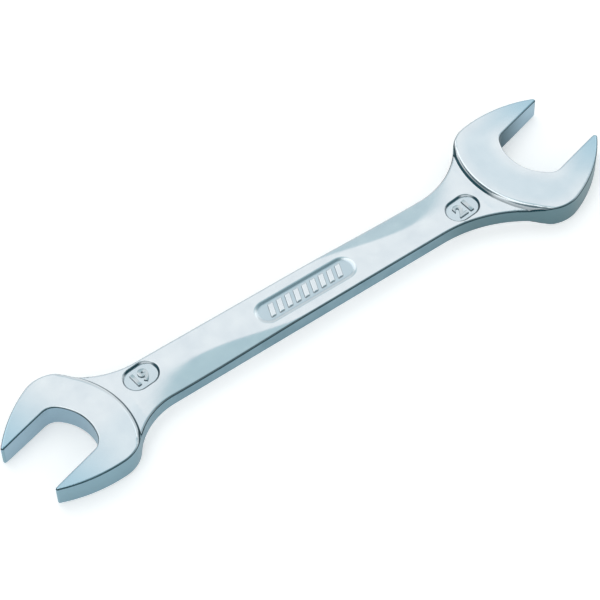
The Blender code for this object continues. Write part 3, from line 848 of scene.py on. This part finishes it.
bpy.ops.mesh.primitive_plane_add(size=FLOOR_SIZE, location=(0, 0, -FLOOR_DROP))
floor = bpy.context.object
floor.name = "floor"
card = bpy.data.materials.new("matt_white_card")
card.use_nodes = True
tree = card.node_tree
board = tree.nodes["Principled BSDF"]
board.inputs["Base Color"].default_value = linear("#F4F4F4")
board.inputs["Roughness"].default_value = 0.9
board.inputs["Specular IOR Level"].default_value = 0.0
path = add(tree, "ShaderNodeLightPath").outputs
seen = path["Is Camera Ray"]
for ray in ("Is Glossy Ray", "Is Transmission Ray"):
    seen = add(tree, "ShaderNodeMath", {0: seen, 1: path[ray]}, operation="MAXIMUM").outputs[0]
seen = add(tree, "ShaderNodeMath", {0: seen, 1: FLOOR_GLOW}, operation="MULTIPLY").outputs[0]
glow = add(tree, "ShaderNodeEmission", {"Strength": seen}).outputs[0]
lit = add(tree, "ShaderNodeAddShader", {0: board.outputs[0], 1: glow}).outputs[0]
tree.links.new(lit, tree.nodes["Material Output"].inputs["Surface"])
floor.data.materials.append(card)


# The camera. It looks from the left and above with a slight roll and a long lens, as the photograph
# does, and half a pixel of shift centres the frame. Lengths are in metres, and the lens is in mm.
AZIMUTH, ELEVATION, ROLL = (math.radians(v) for v in (-33.682, 53.324, -2.15))
FOCAL_LENGTH = 144.48
DISTANCE = 0.68209
TARGET = Vector((-0.00443, -0.00089, 0.00375))
PHOTO_PIXELS = 600

back = Vector((math.cos(ELEVATION) * math.sin(AZIMUTH), -math.cos(ELEVATION) * math.cos(AZIMUTH),
               math.sin(ELEVATION)))
level = Vector((math.cos(AZIMUTH), math.sin(AZIMUTH), 0.0))
right = math.cos(ROLL) * level + math.sin(ROLL) * back.cross(level)
up = back.cross(right)
lens = bpy.data.cameras.new("camera")
lens.lens = FOCAL_LENGTH
lens.clip_start = 0.01
lens.shift_x = -0.5 / PHOTO_PIXELS
lens.shift_y = 0.5 / PHOTO_PIXELS
camera = bpy.data.objects.new("camera", lens)
bpy.context.scene.collection.objects.link(camera)
camera.matrix_world = Matrix(((right.x, up.x, back.x, 0.0), (right.y, up.y, back.y, 0.0),
                              (right.z, up.z, back.z, 0.0), (0.0, 0.0, 0.0, 1.0)))
camera.location = TARGET + back * DISTANCE
bpy.context.scene.camera = camera


# The light. A bright room around the table, made of the sky alone. Its left, middle and right have
# pale panels with cool grey gaps between them, and low down it is a plain grey. The polished faces
# show the panels and the gaps, and the wrench's walls show the grey.
ROOM_LEVEL = 2.0
MIDDLE_GAP = (0.13, 0.20, 0.22)
FAR_GAP = (0.25, 0.34, 0.38)
LEFT_GAP = (0.16, 0.23, 0.25)
RIGHT_GAP = (0.42, 0.52, 0.56)
FAR_PANEL = (1.70, 1.68, 1.66)

world = bpy.data.worlds.new("studio")
bpy.context.scene.world = world
world.use_nodes = True
tree = world.node_tree
room = add(tree, "ShaderNodeTexCoord").outputs["Generated"]
room = add(tree, "ShaderNodeSeparateXYZ", {"Vector": room}).outputs
depth = add(tree, "ShaderNodeMapRange", {"Value": room["Y"], "From Min": -1.0}).outputs["Result"]


def shade(light):
    """Colour for a socket, from one light level or from a level for each of red, green and blue."""
    light = light if isinstance(light, tuple) else (light,) * 3
    return tuple(v / ROOM_LEVEL for v in light) + (1.0,)


def band(axis, low, high, soft):
    """1 between two places on an axis of the room, with soft ends."""
    rise, fall = (
        add(tree, "ShaderNodeMapRange",
            {"Value": room[axis], "From Min": edge - turn * soft, "From Max": edge + turn * soft},
            interpolation_type="SMOOTHSTEP").outputs["Result"]
        for edge, turn in ((low, 1), (high, -1)))
    return add(tree, "ShaderNodeMath", {0: rise, 1: fall}, operation="MULTIPLY").outputs[0]


# Panels from the front of the room, -1, to its back, 1: each stop is a place and the light there
panels = {}
for part, stops in (
        ("middle", [(-1.0, 1.2), (-0.93, 1.2), (-0.85, MIDDLE_GAP), (-0.15, MIDDLE_GAP),
                    (0.08, (0.30, 0.42, 0.46)), (0.24, (0.66, 0.84, 0.88)),
                    (0.37, (0.62, 0.80, 0.86)), (0.43, (1.24, 1.23, 1.23)),
                    (0.56, (1.26, 1.25, 1.25)), (0.62, (0.70, 0.86, 0.91)),
                    (0.76, (0.66, 0.80, 0.85)), (0.86, FAR_GAP), (1.0, FAR_GAP)]),
        ("right", [(-1.0, 1.3), (-0.75, 1.3), (-0.62, RIGHT_GAP), (0.14, RIGHT_GAP),
                   (0.30, FAR_PANEL), (1.0, 1.5)]),
        ("left", [(-1.0, 1.3), (-0.75, 1.3), (-0.62, LEFT_GAP), (-0.12, LEFT_GAP),
                  (0.02, FAR_PANEL), (1.0, 1.6)])):
    node = add(tree, "ShaderNodeValToRGB", {"Fac": depth})
    elements = node.color_ramp.elements
    while len(elements) < len(stops):
        elements.new(0.5)
    for element, (at, light) in zip(elements, stops):
        element.position = (at + 1) / 2
        element.color = shade(light)
    panels[part] = node.outputs["Color"]

# A dark flag at the back on the left, and the plain greys low down
flag = add(tree, "ShaderNodeMath", {0: band("X", -0.88, -0.27, 0.06), 1: band("Y", 0.12, 0.75, 0.06)},
           operation="MULTIPLY").outputs[0]
low_front = add(tree, "ShaderNodeMath", {0: band("Y", -1.2, 0.06, 0.08), 1: band("Z", -1.2, 0.66, 0.05)},
                operation="MULTIPLY").outputs[0]
low_down = add(tree, "ShaderNodeMapRange", {"Value": room["Z"], "From Min": 0.64, "From Max": 0.47},
               interpolation_type="SMOOTHSTEP").outputs["Result"]
sky = panels["right"]
for share, light in ((band("X", 0.08, 0.58, 0.06), panels["middle"]),
                     (band("X", -1.2, 0.06, 0.06), panels["left"]),
                     (flag, shade((0.12, 0.18, 0.20))),
                     (low_front, shade((0.96, 0.98, 1.00))),
                     (low_down, shade(1.0))):
    sky = add(tree, "ShaderNodeMix", {"Factor": share, MIX_FROM: sky, MIX_TO: light},
              data_type="RGBA").outputs[MIXED]
tree.links.new(sky, tree.nodes["Background"].inputs["Color"])
tree.nodes["Background"].inputs["Strength"].default_value = ROOM_LEVEL

bpy.context.scene.view_settings.view_transform = "Standard"
